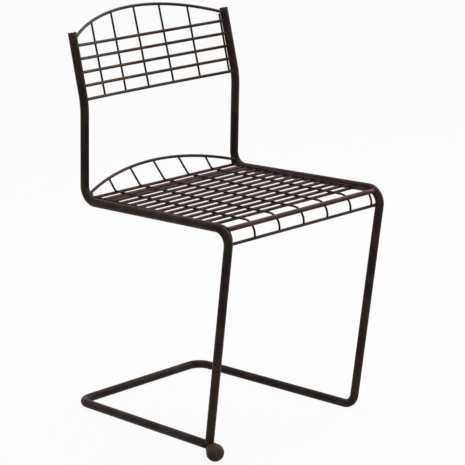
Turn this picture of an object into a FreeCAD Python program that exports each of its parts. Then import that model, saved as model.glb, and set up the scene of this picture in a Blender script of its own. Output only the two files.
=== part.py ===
"""Wire mesh chair on a bent tube cantilever frame.

Millimetres, +Z up, +X to the right and the front edge of the seat towards -Y.
The origin lies on the floor, under the middle of the chair's outer size.
Heights are measured from the floor, and setbacks from the frame's front seat
corner towards the back. Left is the -X side and right is the +X side.
"""
import FreeCAD, Part
import math
import os

# Frame tube
tube_diameter = 17.2
tube_wall = 1.6
back_top_width = 416.0
seat_rear_width = 418.0
seat_front_width = 426.0
floor_front_width = 402.0
floor_rear_width = 344.0

# Side profile of the frame, along the tube's centre line
front_corner_y = -241.21
seat_front_height = 471.0
seat_rear_height = 453.6
seat_depth = 406.0
post_bend_height = 647.5
post_bend_setback = 400.5
post_top_height = 784.0
post_top_setback = 434.0
right_foot_setback = 57.0
left_foot_setback = 69.0
base_depth = 477.5

# Bend radii of the tube's centre line
post_bend_radius = 150.0
seat_rear_bend_radius = 29.5
seat_front_bend_radius = 28.5
foot_bend_radius = 26.0
floor_rear_bend_radius = 30.5

# Ball foot under the mitred corner on the left
ball_diameter = 35.0
ball_forward_distance = 15.9
ball_drop_height = 10.7

# Plugs in the open ends of the posts
plug_depth = 12.0
plug_clearance = 0.1
plug_head_thickness = 1.2

# Wires of the mesh
bar_diameter = 6.2
long_diameter = 4.2
rod_diameter = 9.8
weld_depth = 0.3
tube_weld_depth = 1.0
long_count = 5

# Backrest mesh, measured down from the posts' tops and back from their plane
back_bar_count = 5
back_bar_pitch = 26.5
back_bars_start_distance = 25.6
back_bow_first = 37.0
back_bow_last = 34.0
back_upright_pitch = 65.8
back_edge_clearance = 0.2
back_arch_end = 8.0
back_arch_lead = 1.5
back_arch_bow = 44.6
back_arch_rise = 42.3

# Seat mesh, with lifts above the side rails and rear distances from their rear corner
seat_bar_pitch = 25.83
seat_bars_start_setback = 69.5
seat_lift_front = -4.85
seat_lift_rear = 2.35
seat_long_pitch = 67.3
seat_edge_gap = 4.1
rear_rod_distance = 28.4
fold_distance = 8.2
fold_radius = 12.0
edge_fold_radius = 4.0
lip_arch_end_angle = 57.0
lip_arch_end_inset = 2.4
lip_arch_top_length = 33.2
lip_arch_top_height = 35.2
front_edge_setback = 8.4
front_edge_radius = 25.5
front_edge_tail_length = 0.5
front_rod_angle = 45.5

tube_radius = tube_diameter / 2
left_foot_height = ball_diameter / 2 + ball_drop_height


def vec(x, y, z):
    return FreeCAD.Vector(x, y, z)


def save(name, shape):
    """Write one sub-part and print its size."""
    shape.exportStep(os.path.join("parts", name + ".step"))
    print("%-26s solids %d  volume %9.1f" % (name, len(shape.Solids), shape.Volume))


def unit(start, end):
    return (end - start).normalize()


def tangent_length(before, corner, after, radius):
    """Distance from a corner to where its tangent arc starts."""
    return radius / math.tan(unit(corner, before).getAngle(unit(corner, after)) / 2)


def bend(before, corner, after, radius):
    """Tangent arc of the given radius that replaces a corner."""
    to_before = unit(corner, before)
    to_after = unit(corner, after)
    half_angle = to_before.getAngle(to_after) / 2
    run = radius / math.tan(half_angle)
    inward = (to_before + to_after).normalize()
    middle = corner + inward * (radius / math.sin(half_angle) - radius)
    return Part.Arc(corner + to_before * run, middle, corner + to_after * run).toShape()


def bent_path(points, radii):
    """Straight runs joined by tangent arcs, one radius for each inner point."""
    edges = []
    place = points[0]
    for before, corner, after, radius in zip(points, points[1:], points[2:], radii):
        arc = bend(before, corner, after, radius)
        edges.append(Part.makeLine(place, arc.valueAt(arc.FirstParameter)))
        edges.append(arc)
        place = arc.valueAt(arc.LastParameter)
    edges.append(Part.makeLine(place, points[-1]))
    return Part.Wire(edges)


def sweep(path, diameter):
    """Round bar that follows a path."""
    first = path.Edges[0]
    start = first.valueAt(first.FirstParameter)
    direction = first.tangentAt(first.FirstParameter)
    circle = Part.Wire(Part.makeCircle(diameter / 2, start, direction))
    return path.makePipeShell([circle], True, False)


def bar(start, end, diameter):
    """Straight round bar between two points."""
    return Part.makeCylinder(diameter / 2, (end - start).Length, start, end - start)


def bowed_bar(end, rise, diameter):
    """Bar from end to its mirror image in X, bowed in one plane by the vector rise."""
    mirror = vec(-end.x, end.y, end.z)
    middle = vec(0, end.y, end.z) + rise
    return sweep(Part.Wire(Part.Arc(mirror, middle, end).toShape()), diameter)


def arc_share(x, half_chord, sagitta):
    """Share of its whole sagitta that a circular arc has at the place x."""
    radius = (half_chord ** 2 + sagitta ** 2) / (2 * sagitta)
    drop = radius - math.sqrt(radius ** 2 - x ** 2)
    return 1 - drop / sagitta


def long_places(pitch):
    """X of the lengthwise wires of a mesh, from left to right."""
    middle = (long_count - 1) / 2
    return [(index - middle) * pitch for index in range(long_count)]


# Frame of bent tube

def side_points(side, foot_setback, foot_height):
    """Corners of one side of the frame, from the top of its post to its foot."""
    top_x = side * back_top_width / 2
    rear_x = side * seat_rear_width / 2
    front_x = side * seat_front_width / 2
    foot_x = side * floor_front_width / 2
    return [
        vec(top_x, front_corner_y + post_top_setback, post_top_height),
        vec(rear_x, front_corner_y + post_bend_setback, post_bend_height),
        vec(rear_x, front_corner_y + seat_depth, seat_rear_height),
        vec(front_x, front_corner_y, seat_front_height),
        vec(foot_x, front_corner_y + foot_setback, foot_height),
    ]


side_radii = [post_bend_radius, seat_rear_bend_radius, seat_front_bend_radius]
left_points = side_points(-1, left_foot_setback, left_foot_height)
right_points = side_points(1, right_foot_setback, tube_radius)
left_corner = left_points[-1]
left_knee = left_points[-2]
rear_y = front_corner_y + base_depth
rear_left = vec(-floor_rear_width / 2, rear_y, tube_radius)
rear_right = vec(floor_rear_width / 2, rear_y, tube_radius)


def past_corner(start):
    """Point past the left front corner, so that the mitre cuts the whole tube."""
    return left_corner + unit(start, left_corner) * tube_diameter


def left_side_path():
    return bent_path(left_points[:-1] + [past_corner(left_knee)], side_radii)


def main_path():
    points = right_points + [rear_right, rear_left, past_corner(rear_left)]
    radii = side_radii + [foot_bend_radius, floor_rear_bend_radius, floor_rear_bend_radius]
    return bent_path(points, radii)


def beyond_mitre(kept, other):
    """Block on the far side of the mitre at the left front corner."""
    normal = (unit(left_corner, other) - unit(left_corner, kept)).normalize()
    size = 6 * tube_diameter
    block = Part.makeBox(size, size, size, vec(-size / 2, -size / 2, 0))
    block.Placement = FreeCAD.Placement(left_corner, FreeCAD.Rotation(vec(0, 0, 1), normal))
    return block


def hollow_tube(path):
    return sweep(path, tube_diameter).cut(sweep(path, tube_diameter - 2 * tube_wall))


def left_side_tube():
    """Left post, seat rail and front leg, mitred where they meet the floor rail."""
    return hollow_tube(left_side_path()).cut(beyond_mitre(left_knee, rear_left))


def base_and_right_side_tube():
    """Right side of the frame and the whole floor loop, bent from one length of tube."""
    return hollow_tube(main_path()).cut(beyond_mitre(rear_left, left_knee))


def mitred_outline(kept, other):
    """Outline of one of the two tubes close to the left front corner."""
    start = left_corner + unit(left_corner, kept) * ball_diameter
    return bar(start, past_corner(kept), tube_diameter).cut(beyond_mitre(kept, other))


def ball_foot():
    """Steel ball welded outside the mitred corner and shaped to both tubes."""
    ball = Part.makeSphere(ball_diameter / 2, left_corner + vec(0, -ball_forward_distance, -ball_drop_height))
    leg = mitred_outline(left_knee, rear_left)
    rail = mitred_outline(rear_left, left_knee)
    return ball.cut(leg).cut(rail)


def post_plug(points):
    """Plug with a thin head that closes the top of a post."""
    top = points[0]
    up = unit(points[1], top)
    stem_diameter = tube_diameter - 2 * tube_wall - 2 * plug_clearance
    stem = bar(top - up * plug_depth, top, stem_diameter)
    head = bar(top, top + up * plug_head_thickness, tube_diameter)
    return stem.fuse(head).removeSplitter()


# Where wires meet the frame

tube_outline = sweep(left_side_path(), tube_diameter).fuse(sweep(main_path(), tube_diameter))
side_line = bent_path(right_points, side_radii)


def reach(y, z):
    """X at which a cross wire with its centre at y, z is welded into a side tube."""
    level_line = Part.makeLine(vec(0, y, z), vec(seat_front_width, y, z))
    offset, nearest, _ = level_line.distToShape(side_line)
    side_x = nearest[0][0].x
    return side_x - math.sqrt(max(tube_radius ** 2 - offset ** 2, 0)) + tube_weld_depth


def trimmed(wire):
    """Wire with its ends shaped to the side tubes."""
    return wire.cut(tube_outline)


def straight_cross_bar(y, z, diameter):
    x = reach(y, z)
    return trimmed(bar(vec(-x, y, z), vec(x, y, z), diameter))


# Backrest mesh

post_top = vec(0, right_points[0].y, right_points[0].z)
post_down = unit(post_top, vec(0, right_points[1].y, right_points[1].z))
post_back = vec(0, -post_down.z, post_down.y)
back_layer = (bar_diameter + long_diameter) / 2 - weld_depth
last_bar = back_bar_count - 1


def back_point(x, down, back):
    """Place on the backrest: down from the posts' tops and back from their plane."""
    return vec(x, 0, 0) + post_top + post_down * down + post_back * back


def back_end(down, back):
    """Place where a backrest wire ends in the right post."""
    place = back_point(0, down, back)
    return back_point(reach(place.y, place.z), down, back)


def bar_down(index):
    return back_bars_start_distance + index * back_bar_pitch


def bar_bow(index):
    """Bow of a horizontal wire, which gets slightly less from the first to the last one."""
    return back_bow_first + (back_bow_last - back_bow_first) * index / last_bar


def back_cross_bar(index):
    """Horizontal wire between the posts, bowed towards the back."""
    return trimmed(bowed_bar(back_end(bar_down(index), 0), post_back * bar_bow(index), bar_diameter))


def back_arch():
    """Top wire of the backrest, which rises and bows back in one plane."""
    rise = post_back * back_arch_bow - post_down * back_arch_rise
    return trimmed(bowed_bar(back_end(back_arch_end, -back_arch_lead), rise, bar_diameter))


def behind_bar(x, index):
    """Place of an upright wire's centre behind a horizontal wire."""
    chord = back_end(bar_down(index), 0).x
    bow = bar_bow(index) * arc_share(x, chord, bar_bow(index))
    return back_point(x, bar_down(index), back_layer + bow)


def back_upright(x):
    """Straight wire behind the horizontal ones, from the arch to the lowest of them."""
    first = behind_bar(x, 0)
    last = behind_bar(x, last_bar)
    arch_chord = back_end(back_arch_end, -back_arch_lead).x
    arch_share = arc_share(x, arch_chord, math.hypot(back_arch_bow, back_arch_rise))
    top = back_arch_end - back_arch_rise * arch_share + bar_diameter / 2 - weld_depth
    above_first = (bar_down(0) - top) / (bar_down(last_bar) - bar_down(0))
    start = first - (last - first) * above_first
    return bar(start, last + unit(first, last) * (bar_diameter / 2), long_diameter)


# Seat mesh

def rail_height(setback):
    """Height of the side rails' centre line."""
    share = setback / seat_depth
    return seat_front_height + (seat_rear_height - seat_front_height) * share


def seat_point(x, setback, above):
    """Place on the seat, above the plane in which the cross wires' centres lie."""
    lift = seat_lift_front + (seat_lift_rear - seat_lift_front) * setback / seat_depth
    return vec(x, front_corner_y + setback, rail_height(setback) + lift + above)


long_above = (bar_diameter + long_diameter) / 2 - weld_depth
rod_below_long = (rod_diameter + long_diameter) / 2 - weld_depth


def seat_bar_setbacks():
    """Setbacks of the regular cross wires, as many as fit in front of the rear rod."""
    last_place = seat_depth - rear_rod_distance - seat_bar_pitch / 2
    count = int((last_place - seat_bars_start_setback) / seat_bar_pitch) + 1
    return [seat_bars_start_setback + index * seat_bar_pitch for index in range(count)]


def seat_cross_bar(setback):
    place = seat_point(0, setback, 0)
    return straight_cross_bar(place.y, place.z, bar_diameter)


def rear_rod():
    """Thick rod under the lengthwise wires, behind the last regular cross wire."""
    place = seat_point(0, seat_depth - rear_rod_distance, long_above - rod_below_long)
    return straight_cross_bar(place.y, place.z, rod_diameter)


def on_rear_bend(angle, inset):
    """Place at an angle round the rail's rear bend, set in from the tube's centre line."""
    corner = vec(0, right_points[2].y, right_points[2].z)
    ahead = unit(corner, vec(0, right_points[3].y, right_points[3].z))
    above = unit(corner, vec(0, right_points[1].y, right_points[1].z))
    arc = bend(corner + ahead, corner, corner + above, seat_rear_bend_radius)
    centre = arc.Curve.Center
    start = unit(centre, arc.valueAt(arc.FirstParameter))
    turned = FreeCAD.Rotation(vec(1, 0, 0), angle).multVec(start)
    return centre + turned * (seat_rear_bend_radius - inset)


fold_corner = seat_point(0, seat_depth - fold_distance, long_above)
lip_end = on_rear_bend(lip_arch_end_angle, lip_arch_end_inset)
lip_top = fold_corner + vec(0, lip_arch_top_length, lip_arch_top_height)
lip_rise = lip_top - lip_end
lip_half_chord = reach(lip_end.y, lip_end.z)


def lip_arch():
    """Arched wire along the top of the seat's rear lip."""
    end = vec(lip_half_chord, lip_end.y, lip_end.z)
    return trimmed(bowed_bar(end, lip_rise, bar_diameter))


def fold_bar():
    """Cross wire under the fold, where the seat turns up into its rear lip."""
    arc = bend(front_corner, fold_corner, lip_top, fold_radius)
    middle = arc.valueAt((arc.FirstParameter + arc.LastParameter) / 2)
    place = middle + unit(middle, fold_corner) * long_above
    return straight_cross_bar(place.y, place.z, bar_diameter)


front_corner = seat_point(0, front_edge_setback, long_above)
front_down = unit(vec(0, right_points[3].y, right_points[3].z), vec(0, right_points[4].y, right_points[4].z))
seat_back = unit(front_corner, fold_corner)
front_run = tangent_length(front_corner + seat_back, front_corner, front_corner + front_down,
                           front_edge_radius)
long_end = front_corner + front_down * (front_run + front_edge_tail_length)


def front_low_bar():
    """Lowest cross wire of the seat, under the ends of the lengthwise wires."""
    place = long_end + front_down * (bar_diameter / 2 - weld_depth)
    return straight_cross_bar(place.y, place.z, bar_diameter)


def front_rod():
    """Thick rod over the lengthwise wires where they turn down at the front."""
    inward = (seat_back + front_down).normalize()
    half_turn = seat_back.getAngle(front_down) / 2
    centre = front_corner + inward * (front_edge_radius / math.sin(half_turn))
    angle = math.radians(front_rod_angle)
    outward = vec(0, -math.cos(angle), math.sin(angle))
    place = centre + outward * (front_edge_radius + rod_below_long)
    return straight_cross_bar(place.y, place.z, rod_diameter)


def long_wire(x, radius):
    """Lengthwise wire: down the rear lip, over the cross wires and down the front edge."""
    side = vec(x, 0, 0)
    arch = lip_end + lip_rise * arc_share(x, lip_half_chord, lip_rise.Length)
    top = arch - unit(fold_corner, arch) * (bar_diameter / 2 - weld_depth)
    points = [top + side, fold_corner + side, front_corner + side, long_end + side]
    return sweep(bent_path(points, [radius, front_edge_radius]), long_diameter)


# Sub-parts

os.makedirs("parts", exist_ok=True)

save("left_side_tube", left_side_tube())
save("base_and_right_side_tube", base_and_right_side_tube())
save("ball_foot", ball_foot())
save("left_post_plug", post_plug(left_points))
save("right_post_plug", post_plug(right_points))

save("back_arch_wire", back_arch())
for index in range(back_bar_count):
    save("back_cross_wire_%d" % (index + 1), back_cross_bar(index))
for index, x in enumerate(long_places(back_upright_pitch)):
    save("back_upright_wire_%d" % (index + 1), back_upright(x))
back_edge_reach = tube_radius + back_edge_clearance + long_diameter / 2
back_narrowest = min(back_top_width, seat_rear_width)
back_edge_x = back_narrowest / 2 - math.sqrt(back_edge_reach ** 2 - back_layer ** 2)
save("back_edge_wire_left", back_upright(-back_edge_x))
save("back_edge_wire_right", back_upright(back_edge_x))

save("seat_lip_arch_wire", lip_arch())
save("seat_fold_wire", fold_bar())
save("seat_rear_rod", rear_rod())
for index, setback in enumerate(seat_bar_setbacks()):
    save("seat_cross_wire_%02d" % (index + 1), seat_cross_bar(setback))
save("seat_front_rod", front_rod())
save("seat_front_low_wire", front_low_bar())
for index, x in enumerate(long_places(seat_long_pitch)):
    save("seat_long_wire_%d" % (index + 1), long_wire(x, fold_radius))
seat_narrowest = min(seat_rear_width, seat_front_width)
seat_edge_x = seat_narrowest / 2 - tube_radius - seat_edge_gap
save("seat_edge_wire_left", long_wire(-seat_edge_x, edge_fold_radius))
save("seat_edge_wire_right", long_wire(seat_edge_x, edge_fold_radius))
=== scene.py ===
import math
import bpy
import numpy as np
from mathutils import Matrix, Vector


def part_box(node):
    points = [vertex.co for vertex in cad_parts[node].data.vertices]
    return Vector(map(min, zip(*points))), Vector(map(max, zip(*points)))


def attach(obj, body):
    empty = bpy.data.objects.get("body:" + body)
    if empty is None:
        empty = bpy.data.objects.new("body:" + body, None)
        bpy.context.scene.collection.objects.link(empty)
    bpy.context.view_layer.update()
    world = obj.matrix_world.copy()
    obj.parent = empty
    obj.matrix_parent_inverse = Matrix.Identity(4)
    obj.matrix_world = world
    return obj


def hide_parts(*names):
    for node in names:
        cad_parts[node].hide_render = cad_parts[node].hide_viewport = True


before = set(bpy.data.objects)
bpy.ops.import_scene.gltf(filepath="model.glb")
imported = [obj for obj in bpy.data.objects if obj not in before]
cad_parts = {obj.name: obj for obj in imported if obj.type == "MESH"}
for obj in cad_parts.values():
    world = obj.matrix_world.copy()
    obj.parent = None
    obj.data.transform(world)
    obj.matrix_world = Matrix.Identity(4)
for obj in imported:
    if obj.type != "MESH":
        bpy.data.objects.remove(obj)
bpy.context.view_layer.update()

# The frame is two lengths of round steel tube, bent cold and painted dark brown. The left one is
# a post, a seat rail and a front leg. The right one goes on round the floor as an open loop.
MM = 0.001
TUBE_R = 8.6
TOP_X, BACK_X, FRONT_X, FOOT_X, REAR_X = 208.0, 209.0, 213.0, 201.0, 172.0
FRONT_Y = -241.21
SEAT_DEPTH = 406.0
POST_TOP = (FRONT_Y + 434.0, 784.0)
POST_BEND = (FRONT_Y + 400.5, 647.5)
SEAT_REAR = (FRONT_Y + SEAT_DEPTH, 453.6)
SEAT_FRONT = (FRONT_Y, 471.0)
SIDE_BENDS = [150.0, 29.5, 28.5]
FOOT_BEND, LOOP_BEND = 26.0, 30.5
LEFT_FOOT_Y, LEFT_FOOT_Z = FRONT_Y + 69.0, 28.2
RIGHT_FOOT_Y = FRONT_Y + 57.0
REAR_Y = FRONT_Y + 477.5


def unit(v):
    """v / |v|."""
    v = np.asarray(v, float)
    return v / np.linalg.norm(v)


def bent_line(corners, bends, arc_step=3.0, run_step=14.0):
    """Centre line of a bent bar: straight runs, and an arc of radius r at each inner corner.

    With a and b the unit vectors from the corner to its neighbours and h half their angle, the
    arc's centre is corner + unit(a + b) * r / sin h, it starts at s = corner + a * r / tan h, and
    its points are centre + (s - centre) * cos u - a * r * sin u, for u from 0 to pi - 2h.
    """
    corners = [np.asarray(c, float) for c in corners]
    pieces, place = [], corners[0]
    for before, corner, after, r in zip(corners, corners[1:], corners[2:], bends):
        a, b = unit(before - corner), unit(after - corner)
        h = math.acos(np.clip(a @ b, -1, 1)) / 2
        centre = corner + unit(a + b) * r / math.sin(h)
        start = corner + a * r / math.tan(h)
        turn = math.pi - 2 * h
        u = np.linspace(0, turn, max(int(turn * r / arc_step), 6) + 1)[:, None]
        arc = centre + (start - centre) * np.cos(u) - a * r * np.sin(u)
        pieces += [run(place, start, run_step), arc[:-1]]
        place = arc[-1]
    pieces += [run(place, corners[-1], run_step), corners[-1][None]]
    return np.concatenate(pieces)


def run(start, end, step):
    """Even places on a straight run, its end left out: start + (end - start) * t."""
    count = max(int(np.linalg.norm(end - start) / step), 1)
    t = np.arange(count)[:, None] / count
    return start + (end - start) * t


def rings_along(line, radius, sides, lean=(0.8, 0.0, 0.6)):
    """Rings round a line: line + radius * (n cos v + b sin v), with n the part of the vector
    lean that is square to the line's direction t, and b = t x n."""
    t = np.gradient(line, axis=0)
    t /= np.linalg.norm(t, axis=1)[:, None]
    n = np.asarray(lean) - t * (t @ np.asarray(lean))[:, None]
    n /= np.linalg.norm(n, axis=1)[:, None]
    b = np.cross(t, n)
    v = np.linspace(0, 2 * math.pi, sides, endpoint=False)
    across = n[:, None] * np.cos(v)[None, :, None] + b[:, None] * np.sin(v)[None, :, None]
    r = np.broadcast_to(np.asarray(radius, float), (len(line),))
    return line[:, None] + across * r[:, None, None]


def painted_piece(name, places, faces, material):
    """Smooth mesh object from places in millimetres, in the frame's root body and a paint slot."""
    mesh = bpy.data.meshes.new(name)
    mesh.from_pydata((places * MM).reshape(-1, 3).tolist(), [], faces)
    mesh.polygons.foreach_set("use_smooth", np.ones(len(mesh.polygons), bool))
    mesh.materials.append(material)
    mesh.update()
    piece = bpy.data.objects.new(name, mesh)
    bpy.context.collection.objects.link(piece)
    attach(piece, "root")
    return piece


def closed_skin(name, skins, material):
    """One mesh from closed skins, each m rings of n places in millimetres (k, m, n, 3).

    Four-sided faces join each ring to the next and wrap round, and fans to the mean of the
    first and of the last ring close the ends.
    """
    skins = np.asarray(skins, float)
    k, m, n, _ = skins.shape
    poles = np.stack([skins[:, 0].mean(axis=1), skins[:, -1].mean(axis=1)], axis=1)
    places = np.concatenate([skins.reshape(k, m * n, 3), poles], axis=1)
    i, j = np.meshgrid(np.arange(m - 1), np.arange(n), indexing="ij")
    jn = (j + 1) % n
    quads = np.stack([i * n + j, i * n + jn, (i + 1) * n + jn, (i + 1) * n + j], -1).reshape(-1, 4)
    j, last = np.arange(n), (m - 1) * n
    jn = (j + 1) % n
    first_fan = np.stack([np.full(n, m * n), jn, j], -1)
    last_fan = np.stack([np.full(n, m * n + 1), last + j, last + jn], -1)
    fans = np.concatenate([first_fan, last_fan])
    shift = np.arange(k)[:, None, None] * (m * n + 2)
    faces = (quads + shift).reshape(-1, 4).tolist() + (fans + shift).reshape(-1, 3).tolist()
    return painted_piece(name, places, faces, material)


def brown_paint(name, dark, warm, rust, rust_amount, top_light_share, roughness, grain):
    """Thin brown paint that was baked on steel.

    Colour: dark and warm brown mixed by broad noise, with rust brown specks where fine noise is high.
    Faces that look up are made more warm by the share given for the top: this is painted light
    from above. Roughness and height follow finer noise.
    """
    material = bpy.data.materials.new(name)
    material.use_nodes = True
    nodes, links = material.node_tree.nodes, material.node_tree.links
    shader = nodes["Principled BSDF"]
    shader.inputs["Specular IOR Level"].default_value = 0.09
    coordinates = nodes.new("ShaderNodeTexCoord")
    geometry = nodes.new("ShaderNodeNewGeometry")

    def noise(scale, detail, rough=0.55):
        node = nodes.new("ShaderNodeTexNoise")
        node.inputs["Scale"].default_value = scale
        node.inputs["Detail"].default_value = detail
        node.inputs["Roughness"].default_value = rough
        links.new(coordinates.outputs["Object"], node.inputs["Vector"])
        return node.outputs["Fac"]

    def spread(value, low, high, to_low=0.0, to_high=1.0):
        node = nodes.new("ShaderNodeMapRange")
        node.interpolation_type = "SMOOTHSTEP"
        for socket, number in zip(("From Min", "From Max", "To Min", "To Max"),
                                  (low, high, to_low, to_high)):
            node.inputs[socket].default_value = number
        links.new(value, node.inputs["Value"])
        return node.outputs["Result"]

    def joined(kind, a, b):
        node = nodes.new("ShaderNodeMath")
        node.operation = kind
        node.use_clamp = True
        links.new(a, node.inputs[0])
        links.new(b, node.inputs[1])
        return node.outputs["Value"]

    def blended(share, a, b):
        node = nodes.new("ShaderNodeMix")
        node.data_type = "RGBA"
        links.new(share, node.inputs["Factor"])
        for socket, value in ((node.inputs[6], a), (node.inputs[7], b)):
            if isinstance(value, tuple):
                socket.default_value = (*value, 1.0)
            else:
                links.new(value, socket)
        return node.outputs[2]

    facing = nodes.new("ShaderNodeSeparateXYZ")
    links.new(geometry.outputs["Normal"], facing.inputs["Vector"])
    # Painted light: faces that look up get more of the warm brown, as if lit from above.
    painted_top_light = spread(facing.outputs["Z"], -0.3, 1.0, 0.0, top_light_share)
    patches = spread(noise(22.0, 4.0), 0.38, 0.66, 0.0, 0.7)
    paint = blended(joined("ADD", painted_top_light, patches), dark, warm)
    specks = joined("MULTIPLY", spread(noise(grain, 6.0, 0.7), 0.55, 0.72, 0.0, rust_amount),
                    spread(noise(9.0, 2.0), 0.35, 0.6))
    colour = blended(specks, paint, rust)
    links.new(colour, shader.inputs["Base Color"])
    mottle = spread(noise(grain * 0.6, 5.0), 0.3, 0.7, roughness - 0.08, roughness + 0.1)
    links.new(mottle, shader.inputs["Roughness"])

    skin = nodes.new("ShaderNodeBump")
    skin.inputs["Strength"].default_value = 0.35
    skin.inputs["Distance"].default_value = 0.00025
    links.new(noise(grain * 2.2, 3.0), skin.inputs["Height"])
    dents = nodes.new("ShaderNodeBump")
    dents.inputs["Strength"].default_value = 0.25
    dents.inputs["Distance"].default_value = 0.0006
    links.new(noise(75.0, 2.0), dents.inputs["Height"])
    links.new(skin.outputs["Normal"], dents.inputs["Normal"])
    links.new(dents.outputs["Normal"], shader.inputs["Normal"])
    return material


tube_paint = brown_paint("tube paint", dark=(0.015, 0.0068, 0.005), warm=(0.048, 0.025, 0.018),
                         rust=(0.095, 0.040, 0.022), rust_amount=0.5, top_light_share=0.05,
                         roughness=0.42, grain=420.0)


def side_line(side, foot):
    """Corners of one side of the frame, from the post's top down to the given foot corner."""
    return [(side * TOP_X, *POST_TOP), (side * BACK_X, *POST_BEND), (side * BACK_X, *SEAT_REAR),
            (side * FRONT_X, *SEAT_FRONT), foot]


left_corner = np.array([-FOOT_X, LEFT_FOOT_Y, LEFT_FOOT_Z])
right_corner = np.array([FOOT_X, RIGHT_FOOT_Y, TUBE_R])
rear_left = np.array([-REAR_X, REAR_Y, TUBE_R])
rear_right = np.array([REAR_X, REAR_Y, TUBE_R])
left_corners = side_line(-1, left_corner)
right_corners = side_line(1, right_corner) + [rear_right, rear_left, left_corner]
to_leg = unit(np.array(left_corners[-2]) - left_corner)
to_rail = unit(rear_left - left_corner)
mitre_across = unit(to_leg - to_rail)


def mitred_tube(corners, bends):
    """Rings of a tube whose last ring lies in the mitre plane through the left front corner.

    Each place p of the last ring slides along the tube's direction t to the plane with the
    normal w: p - t * (p - corner).w / (t.w).
    """
    line = bent_line(corners, bends)
    rings = rings_along(line, TUBE_R, 56)
    t = unit(line[-1] - line[-2])
    off = rings[-1] - left_corner
    rings[-1] -= t * ((off @ mitre_across) / (t @ mitre_across))[:, None]
    return rings


left_rings = mitred_tube(left_corners, SIDE_BENDS)
main_rings = mitred_tube(right_corners, SIDE_BENDS + [FOOT_BEND, LOOP_BEND, LOOP_BEND])
left_tube = closed_skin("left_side_tube_painted", [left_rings], tube_paint)
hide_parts("left_side_tube")
main_tube = closed_skin("base_and_right_side_tube_painted", [main_rings], tube_paint)
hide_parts("base_and_right_side_tube")

# A weld bead runs round the mitre where the left leg meets the floor rail. It is laid in one
# pass, so it has fine ripples along it, and it is painted over with the tubes.
BEAD_R, BEAD_RIPPLE, BEAD_RIPPLES = 1.15, 0.16, 34


def bead_round(ring, turns=180):
    """Closed bead on a ring of places: its radius is r + ripple * sin(count * u), and its section
    turns in the plane of the ring's own outward direction and the mitre's normal."""
    u = np.linspace(0, 2 * math.pi, turns, endpoint=False)
    source = np.linspace(0, 2 * math.pi, len(ring), endpoint=False)
    centre = ring.mean(axis=0)
    line = np.stack([np.interp(u, source, ring[:, a], period=2 * math.pi) for a in range(3)], -1)
    out = line - centre
    out /= np.linalg.norm(out, axis=1)[:, None]
    v = np.linspace(0, 2 * math.pi, 10, endpoint=False)
    r = BEAD_R + BEAD_RIPPLE * np.sin(BEAD_RIPPLES * u)
    section = out[:, None] * np.cos(v)[None, :, None] + mitre_across * np.sin(v)[None, :, None]
    return line[:, None] + section * r[:, None, None]


def loop_skin(name, rings, material):
    """A mesh from rings that close on themselves both ways, like a torus."""
    m, n, _ = rings.shape
    i, j = np.meshgrid(np.arange(m), np.arange(n), indexing="ij")
    inext, jnext = (i + 1) % m, (j + 1) % n
    quads = np.stack([i * n + j, i * n + jnext, inext * n + jnext, inext * n + j], -1)
    return painted_piece(name, rings, quads.reshape(-1, 4).tolist(), material)


bead = bead_round(left_rings[-1])
along = bead[1, 0] - bead[0, 0]
spin = bead[0, 1] - bead[0, 0]
outward = bead[0, 0] - bead[0].mean(axis=0)
if np.cross(spin, along) @ outward < 0:
    bead = bead[:, ::-1]
loop_skin("mitre_weld_bead", bead, tube_paint)

# The ball foot is a solid steel ball, welded on outside the mitred corner. The weld swells it
# slightly where it meets the two tubes. Its paint is a warmer brown than the tubes', and its
# upper faces are warmer still, which is painted light from above.
BALL_R = 17.5
BALL_FORWARD, BALL_DROP = 15.9, 10.7
ball_centre = left_corner + np.array([0.0, -BALL_FORWARD, -BALL_DROP])
WELD_WIDTH, WELD_SWELL, WELD_REACH = 8.0, 3.0, 60.0
BALL_RINGS, BALL_SIDES = 60, 96
ball_paint = brown_paint("ball paint", dark=(0.036, 0.018, 0.012), warm=(0.110, 0.062, 0.044),
                         rust=(0.160, 0.080, 0.044), rust_amount=0.9, top_light_share=0.5,
                         roughness=0.48, grain=300.0)


def off_tube(places, start, direction, reach):
    """Distance from places to the surface of the tube along start + direction * s, s in 0..reach."""
    s = np.clip((places - start) @ direction, 0, reach)
    return np.linalg.norm(places - start - direction * s[..., None], axis=-1) - TUBE_R


def ball_rings():
    """Ball: centre + d * (R + swell * (1 - g / width)^2), with d the direction at polar angle p
    and turn v, and g the distance from the ball's own surface there to the nearer tube."""
    p = np.linspace(0.03, math.pi - 0.03, BALL_RINGS)[:, None]
    v = np.linspace(0, 2 * math.pi, BALL_SIDES, endpoint=False)[None]
    d = np.stack([np.sin(p) * np.cos(v), np.sin(p) * np.sin(v), -np.cos(p) + 0 * v], -1)
    surface = ball_centre + d * BALL_R
    gap = np.minimum(off_tube(surface, left_corner, to_leg, WELD_REACH),
                     off_tube(surface, left_corner, to_rail, WELD_REACH))
    swell = WELD_SWELL * np.clip(1 - np.clip(gap, 0, None) / WELD_WIDTH, 0, 1) ** 2
    return ball_centre + d * (BALL_R + swell)[..., None]


ball = closed_skin("ball_foot_painted", [ball_rings()], ball_paint)
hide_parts("ball_foot")

# A moulded plug closes the open top of each post. Its stem grips the bore, and its thin head
# covers the cut edge of the tube, with a rounded rim and a slightly crowned top.
plug_paint = brown_paint("plug plastic", dark=(0.022, 0.014, 0.012), warm=(0.050, 0.032, 0.026),
                         rust=(0.085, 0.050, 0.036), rust_amount=0.2, top_light_share=0.3,
                         roughness=0.55, grain=600.0)
PLUG_HEAD, PLUG_DEPTH, PLUG_STEM_R, PLUG_RIM = 1.2, 12.0, 6.9, 0.5


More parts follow.
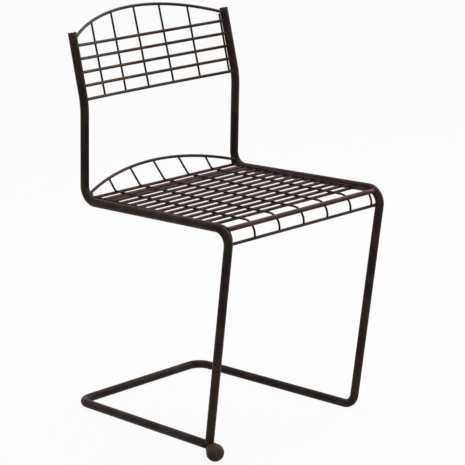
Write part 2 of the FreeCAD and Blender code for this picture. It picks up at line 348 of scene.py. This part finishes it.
def plug_rings(side):
    """Turned shape about the post's axis: (distance along the axis, radius) pairs, with a quarter
    round of radius PLUG_RIM at the rim and a crown of PLUG_RIM / 4 over the top."""
    top = np.array([side * TOP_X, *POST_TOP])
    up = unit(top - np.array([side * BACK_X, *POST_BEND]))
    u = np.linspace(0, math.pi / 2, 7)
    rim_low = PLUG_HEAD - 1.25 * PLUG_RIM
    head = [(rim_low + PLUG_RIM * math.sin(a), TUBE_R - PLUG_RIM * (1 - math.cos(a))) for a in u]
    crown = [(PLUG_HEAD - PLUG_RIM / 4 * (r / TUBE_R) ** 2, r) for r in (7.0, 5.0, 3.0, 1.0)]
    profile = np.array([(-PLUG_DEPTH, PLUG_STEM_R - 1.0), (-PLUG_DEPTH + 1.0, PLUG_STEM_R),
                        (-0.02, PLUG_STEM_R), (0.0, TUBE_R - 0.15), (0.15, TUBE_R)] + head + crown)
    n = unit(np.cross(up, (1.0, 0.0, 0.0)))
    b = np.cross(up, n)
    v = np.linspace(0, 2 * math.pi, 48, endpoint=False)
    round_axis = n[None] * np.cos(v)[:, None] + b[None] * np.sin(v)[:, None]
    return top + up * profile[:, 0, None, None] + round_axis[None] * profile[:, 1, None, None]


for side, node in ((-1, "left_post_plug"), (1, "right_post_plug")):
    plug = closed_skin(node + "_moulded", [plug_rings(side)], plug_paint)
    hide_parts(node)

# The mesh wires are drawn steel bars of three sizes. The cross bars carry the load from side to
# side, and thinner lengthwise wires are spot welded to them. Every cut end is slightly rounded.
BAR_R, LONG_R = 3.1, 2.1
SINK = 0.3
END_ROUND = 0.6
# The wire and rod paints give their upper faces a strong painted highlight from above.
wire_paint = brown_paint("wire paint", dark=(0.022, 0.011, 0.009), warm=(0.090, 0.044, 0.033),
                         rust=(0.150, 0.062, 0.038), rust_amount=0.5, top_light_share=0.75,
                         roughness=0.40, grain=520.0)
long_paint = brown_paint("lengthwise wire paint", dark=(0.012, 0.007, 0.006),
                         warm=(0.036, 0.019, 0.015), rust=(0.090, 0.042, 0.027),
                         rust_amount=0.4, top_light_share=0.6, roughness=0.42, grain=520.0)
rod_paint = brown_paint("rod paint", dark=(0.026, 0.012, 0.009), warm=(0.120, 0.054, 0.040),
                        rust=(0.180, 0.075, 0.045), rust_amount=0.6, top_light_share=0.75,
                        roughness=0.38, grain=480.0)


def wire_rings(line, radius, sides=20):
    """Rings of a wire whose two ends are quarter rounds: at END_ROUND * (1 - cos a) from the end
    the radius is radius - END_ROUND * (1 - sin a)."""
    a = np.linspace(0, math.pi / 2, 4)
    inset, narrower = END_ROUND * (1 - np.cos(a)), END_ROUND * (1 - np.sin(a))
    t0, t1 = unit(line[1] - line[0]), unit(line[-1] - line[-2])
    start = line[0] + t0 * inset[:, None]
    end = line[-1] - t1 * inset[::-1, None]
    whole = np.concatenate([start, line[1:-1], end])
    radii = np.concatenate([radius - narrower, np.full(len(line) - 2, radius),
                            (radius - narrower)[::-1]])
    return rings_along(whole, radii, sides)


def bowed_line(end, rise):
    """Circular arc from (-x, y, z) to the end (x, y, z), whose middle is moved by the vector rise.

    With c the half chord, s = |rise| and R = (c^2 + s^2) / 2s, it is x = R sin u and
    height = R cos u - (R - s) along rise.
    """
    c, s = end[0], float(np.linalg.norm(rise))
    big = (c * c + s * s) / (2 * s)
    u = np.linspace(-1, 1, 81) * math.asin(c / big)
    height = big * np.cos(u) - (big - s)
    return (np.array([0.0, end[1], end[2]]) + np.stack([big * np.sin(u), 0 * u, 0 * u], -1)
            + unit(rise) * height[:, None])


def arc_share(x, half_chord, sagitta):
    """Share of its sagitta that such an arc has at x: 1 - (R - sqrt(R^2 - x^2)) / s."""
    big = (half_chord ** 2 + sagitta ** 2) / (2 * sagitta)
    return 1 - (big - np.sqrt(big ** 2 - np.asarray(x, float) ** 2)) / sagitta


def wire(node, line, radius, material):
    """Painted wire along a line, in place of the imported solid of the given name."""
    piece = closed_skin(node + "_painted", [wire_rings(line, radius)], material)
    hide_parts(node)


# Backrest: five horizontal bars, bowed to the back so that they fit the sitter, an arched bar on
# top, and five upright wires and two edge wires behind them. All of it is welded to the posts.
BACK_BARS, BACK_PITCH, BACK_START = 5, 26.5, 25.6
BACK_DOWN = BACK_START + np.arange(BACK_BARS) * BACK_PITCH
BACK_BOW = np.linspace(37.0, 34.0, BACK_BARS)
ARCH_END, ARCH_LEAD, ARCH_BOW, ARCH_RISE = 8.0, 1.5, 44.6, 42.3
UPRIGHT_PITCH = 65.8
EDGE_CLEARANCE = 0.2
post_top = np.array([0.0, *POST_TOP])
post_down = unit(np.array([0.0, *POST_BEND]) - post_top)
post_back = np.array([0.0, -post_down[2], post_down[1]])
LAYER = BAR_R + LONG_R - SINK


def back_place(x, down, back):
    """Place on the backrest: down along the posts' upper part, and back, square to it."""
    return np.array([x, 0.0, 0.0]) + post_top + post_down * down + post_back * back


def five_places(pitch):
    """Places of five even wires about the middle: (i - 2) * pitch."""
    return np.arange(-2, 3) * pitch


def end_x(node):
    """Half the length of a cross wire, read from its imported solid."""
    low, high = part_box(node)
    return max(abs(low[0]), abs(high[0])) / MM


bar_x = [end_x("back_cross_wire_%d" % (i + 1)) for i in range(BACK_BARS)]
for index in range(BACK_BARS):
    end = back_place(bar_x[index], BACK_DOWN[index], 0.0)
    bar = bowed_line(end, post_back * BACK_BOW[index])
    wire("back_cross_wire_%d" % (index + 1), bar, BAR_R, wire_paint)

arch_x = end_x("back_arch_wire")
arch_lift = post_back * ARCH_BOW - post_down * ARCH_RISE
arch = bowed_line(back_place(arch_x, ARCH_END, -ARCH_LEAD), arch_lift)
wire("back_arch_wire", arch, BAR_R, wire_paint)


def behind_bar(x, index, layer):
    """Place at x behind a horizontal bar, as far from its centre as layer."""
    share = float(arc_share(x, bar_x[index], BACK_BOW[index]))
    return back_place(x, BACK_DOWN[index], layer + BACK_BOW[index] * share)


edge_reach = TUBE_R + EDGE_CLEARANCE + LONG_R
back_edge = TOP_X - math.sqrt(edge_reach ** 2 - LAYER ** 2)
upright_nodes = [("back_upright_wire_%d" % (i + 1), x) for i, x in enumerate(five_places(UPRIGHT_PITCH))]
upright_nodes += [("back_edge_wire_left", -back_edge), ("back_edge_wire_right", back_edge)]
for node, x in upright_nodes:
    top = ARCH_END - ARCH_RISE * arc_share(x, arch_x, np.linalg.norm(arch_lift)) + BAR_R - SINK
    first, last = behind_bar(x, 0, LAYER), behind_bar(x, BACK_BARS - 1, LAYER)
    start = first - (last - first) * (BACK_START - top) / (BACK_DOWN[-1] - BACK_DOWN[0])
    end = last + unit(last - first) * BAR_R
    wire(node, np.concatenate([run(start, end, 20.0), end[None]]), LONG_R, long_paint)

# Seat cross bars: twelve even bars between the rails, a thick rod behind them, a bar under the
# fold, a thick rod at the front bend, where the sitter's legs rest, and a low bar under it.
seat_bars = {"seat_cross_wire_%02d" % (i + 1): wire_paint for i in range(12)}
seat_bars.update({"seat_fold_wire": wire_paint, "seat_rear_rod": rod_paint,
                  "seat_front_rod": rod_paint, "seat_front_low_wire": wire_paint})
bar_places = {}
for node, material in seat_bars.items():
    low, high = (np.array(corner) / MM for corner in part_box(node))
    middle, half = (low + high) / 2, (high - low) / 2
    start, end = middle * (0, 1, 1) - (half[0], 0, 0), middle * (0, 1, 1) + (half[0], 0, 0)
    line = np.concatenate([run(start, end, 25.0), end[None]])
    wire(node, line, half[2], material)
    bar_places[node] = (middle[1], middle[2], half[2], half[0])

# Seat lip and lengthwise wires: an arched bar stands up and back behind the seat. Each lengthwise
# wire hangs from it, folds, runs over the cross bars, and turns down over the front edge.
RAIL_SLOPE = (SEAT_REAR[1] - SEAT_FRONT[1]) / SEAT_DEPTH
LIFT_FRONT, LIFT_REAR = -4.85, 2.35
FOLD_BEND, EDGE_FOLD_BEND, FRONT_BEND = 12.0, 4.0, 25.5
FRONT_SETBACK, FRONT_TAIL, FOLD_SETBACK = 8.4, 0.5, 397.8
LIP_LENGTH, LIP_HEIGHT = 33.2, 35.2
LIP_ANGLE, LIP_INSET = math.radians(57.0), 2.4
LONG_PITCH = 67.3
EDGE_GAP = 4.1


def seat_place(setback, above):
    """Place on the seat at x = 0: setback from the rails' front corner, above the bars' middle."""
    lift = LIFT_FRONT + (LIFT_REAR - LIFT_FRONT) * setback / SEAT_DEPTH
    return np.array([0.0, FRONT_Y + setback, SEAT_FRONT[1] + RAIL_SLOPE * setback + lift + above])


def on_rear_bend(angle, inset):
    """Place at an angle round the rail's rear bend: centre + (start - centre) turned by it."""
    corner = np.array([0.0, *SEAT_REAR])
    ahead = unit(np.array([0.0, *SEAT_FRONT]) - corner)
    above = unit(np.array([0.0, *POST_BEND]) - corner)
    h = math.acos(ahead @ above) / 2
    r = SIDE_BENDS[1]
    centre = corner + unit(ahead + above) * r / math.sin(h)
    start = corner + ahead * r / math.tan(h)
    return centre + (unit(start - centre) * math.cos(angle) - ahead * math.sin(angle)) * (r - inset)


fold_corner = seat_place(FOLD_SETBACK, LAYER)
lip_end = on_rear_bend(LIP_ANGLE, LIP_INSET)
lip_top = fold_corner + (0.0, LIP_LENGTH, LIP_HEIGHT)
lip_rise = lip_top - lip_end
lip_x = end_x("seat_lip_arch_wire")
wire("seat_lip_arch_wire", bowed_line(lip_end + (lip_x, 0, 0), lip_rise), BAR_R, rod_paint)

front_corner = seat_place(FRONT_SETBACK, LAYER)
seat_back = unit(fold_corner - front_corner)
front_down = unit(np.array([0.0, right_corner[1] - SEAT_FRONT[0], right_corner[2] - SEAT_FRONT[1]]))
front_half = math.acos(seat_back @ front_down) / 2
long_end = front_corner + front_down * (FRONT_BEND / math.tan(front_half) + FRONT_TAIL)


def long_line(x, fold_bend):
    """Lengthwise wire at x: arch, fold, front corner and lower end, joined by tangent arcs."""
    arch = lip_end + lip_rise * arc_share(x, lip_x, np.linalg.norm(lip_rise))
    top = arch - unit(arch - fold_corner) * (BAR_R - SINK)
    corners = [p + (x, 0, 0) for p in (top, fold_corner, front_corner, long_end)]
    return bent_line(corners, [fold_bend, FRONT_BEND], arc_step=1.5)


seat_edge = BACK_X - TUBE_R - EDGE_GAP
long_nodes = [("seat_long_wire_%d" % (i + 1), x, FOLD_BEND) for i, x in enumerate(five_places(LONG_PITCH))]
long_nodes += [("seat_edge_wire_left", -seat_edge, EDGE_FOLD_BEND),
               ("seat_edge_wire_right", seat_edge, EDGE_FOLD_BEND)]
for node, x, fold_bend in long_nodes:
    wire(node, long_line(x, fold_bend), LONG_R, long_paint)

# Spot welds: at each crossing the two wires are pressed together and melt a little, so a small
# swelling fills the notch between them. Where a bar meets a tube there is a thin weld collar.
SPOT_R, COLLAR_OUT, COLLAR_DEEP, COLLAR_INSET = 2.2, 0.8, 2.0, 1.0
rng = np.random.default_rng(7)


def swellings(name, centres, axes, material):
    """Small closed beads: centre + (a sin p cos v, b sin p sin v, -c cos p)."""
    p = np.linspace(0.25, math.pi - 0.25, 7)[:, None]
    v = np.linspace(0, 2 * math.pi, 12, endpoint=False)[None]
    ball_grid = np.stack([np.sin(p) * np.cos(v), np.sin(p) * np.sin(v), -np.cos(p) + 0 * v], -1)
    skins = np.asarray(centres)[:, None, None] + ball_grid[None] * np.asarray(axes)[:, None, None]
    return closed_skin(name, skins, material)


def spot_sizes(count):
    """Half axes of so many round spot welds, each up to 8 in a hundred off the plain size."""
    return SPOT_R * rng.uniform(0.92, 1.08, (count, 1)) * np.ones(3)


flat_bars = [n for n in bar_places if n.startswith("seat_cross") or n == "seat_rear_rod"]
all_x = np.array([x for _, x, _ in long_nodes])
bar_yz = np.array([(bar_places[n][0], bar_places[n][1] + bar_places[n][2]) for n in flat_bars])
spots = np.array([(x, y, z - SINK / 2) for y, z in bar_yz for x in all_x])
swellings("seat_spot_welds", spots, spot_sizes(len(spots)), wire_paint)

back_x = np.array([x for _, x in upright_nodes])
back_spots = np.array([behind_bar(x, i, BAR_R - SINK / 2)
                       for i in range(BACK_BARS) for x in back_x])
swellings("back_spot_welds", back_spots, spot_sizes(len(back_spots)), wire_paint)

collars = [(side * (x - COLLAR_INSET), y, z, r)
           for y, z, r, x in bar_places.values() for side in (-1, 1)]
collars += [(side * (bar_x[i] - COLLAR_INSET), *back_place(0, BACK_DOWN[i], 0)[1:], BAR_R)
            for i in range(BACK_BARS) for side in (-1, 1)]
collars = np.array(collars)
collar_axes = np.stack([np.full(len(collars), COLLAR_DEEP), collars[:, 3] + COLLAR_OUT,
                        collars[:, 3] + COLLAR_OUT], -1)
swellings("tube_weld_collars", collars[:, :3], collar_axes, wire_paint)

# Studio: a plain pale floor and an even white surround, a broad soft lamp overhead and a weaker
# one from the right. The camera stands where the photograph was taken from.
floor_mesh = bpy.data.meshes.new("studio_floor")
HALF_FLOOR = 40.0
floor_places = [(x * HALF_FLOOR, y * HALF_FLOOR, 0) for x, y in ((-1, -1), (1, -1), (1, 1), (-1, 1))]
floor_mesh.from_pydata(floor_places, [], [(0, 1, 2, 3)])
floor = bpy.data.objects.new("studio_floor", floor_mesh)
bpy.context.collection.objects.link(floor)


def seen_share(nodes, links):
    """1 for rays that show the background: straight from the camera, mirrored or let through."""
    path = nodes.new("ShaderNodeLightPath")
    total = path.outputs["Is Camera Ray"]
    for output in ("Is Glossy Ray", "Is Transmission Ray"):
        node = nodes.new("ShaderNodeMath")
        node.operation = "ADD"
        node.use_clamp = True
        links.new(total, node.inputs[0])
        links.new(path.outputs[output], node.inputs[1])
        total = node.outputs["Value"]
    return total


floor_paint = bpy.data.materials.new("studio floor")
floor_paint.use_nodes = True
nodes, links = floor_paint.node_tree.nodes, floor_paint.node_tree.links
matt = nodes["Principled BSDF"]
matt.inputs["Base Color"].default_value = (0.8, 0.8, 0.8, 1.0)
matt.inputs["Roughness"].default_value = 0.9
matt.inputs["Specular IOR Level"].default_value = 0.0
glow = nodes.new("ShaderNodeEmission")
part_seen = nodes.new("ShaderNodeMath")
part_seen.operation = "MULTIPLY"
part_seen.inputs[1].default_value = 0.95
links.new(seen_share(nodes, links), part_seen.inputs[0])
both = nodes.new("ShaderNodeMixShader")
links.new(part_seen.outputs["Value"], both.inputs["Fac"])
links.new(matt.outputs["BSDF"], both.inputs[1])
links.new(glow.outputs["Emission"], both.inputs[2])
links.new(both.outputs["Shader"], nodes["Material Output"].inputs["Surface"])
floor_mesh.materials.append(floor_paint)

world = bpy.data.worlds.new("studio")
bpy.context.scene.world = world
world.use_nodes = True
nodes, links = world.node_tree.nodes, world.node_tree.links
surround = nodes["Background"]
surround.inputs["Color"].default_value = (1.0, 1.0, 1.0, 1.0)
level = nodes.new("ShaderNodeMapRange")
level.inputs["To Min"].default_value = 0.4
level.inputs["To Max"].default_value = 1.0
links.new(seen_share(nodes, links), level.inputs["Value"])
links.new(level.outputs["Result"], surround.inputs["Strength"])


def soft_lamp(name, place, aim, width, power):
    """Square area lamp at place that looks at aim."""
    data = bpy.data.lights.new(name, "AREA")
    data.size = width
    data.energy = power
    lamp = bpy.data.objects.new(name, data)
    back = unit(np.subtract(place, aim))
    right = unit(np.cross((0.0, 1.0, 0.001), back))
    turn = Matrix(np.stack([right, np.cross(back, right), back], -1).tolist()).to_4x4()
    lamp.matrix_world = Matrix.Translation(place) @ turn
    bpy.context.collection.objects.link(lamp)


soft_lamp("overhead_lamp", (0.4, 0.3, 3.0), (0.0, 0.0, 0.4), 2.2, 40.0)
soft_lamp("right_lamp", (2.6, -0.4, 1.6), (0.0, 0.0, 0.4), 1.4, 30.0)

VIEW_TURN, VIEW_RISE, VIEW_ROLL = np.radians([-45.3398, 15.3115, -0.1298])
VIEW_PLACE = (-2.93876, -2.94163, 1.51744)
camera_data = bpy.data.cameras.new("camera")
camera_data.sensor_width = 36.0
camera_data.lens = 167.385
camera = bpy.data.objects.new("camera", camera_data)
back = np.array([math.sin(VIEW_TURN) * math.cos(VIEW_RISE),
                 -math.cos(VIEW_TURN) * math.cos(VIEW_RISE), math.sin(VIEW_RISE)])
level_right = np.array([math.cos(VIEW_TURN), math.sin(VIEW_TURN), 0.0])
level_up = np.cross(back, level_right)
right = math.cos(VIEW_ROLL) * level_right + math.sin(VIEW_ROLL) * level_up
up = np.cross(back, right)
camera.matrix_world = (Matrix.Translation(VIEW_PLACE)
                       @ Matrix(np.stack([right, up, back], -1).tolist()).to_4x4())
bpy.context.collection.objects.link(camera)
bpy.context.scene.camera = camera
bpy.context.scene.view_settings.view_transform = "Standard"
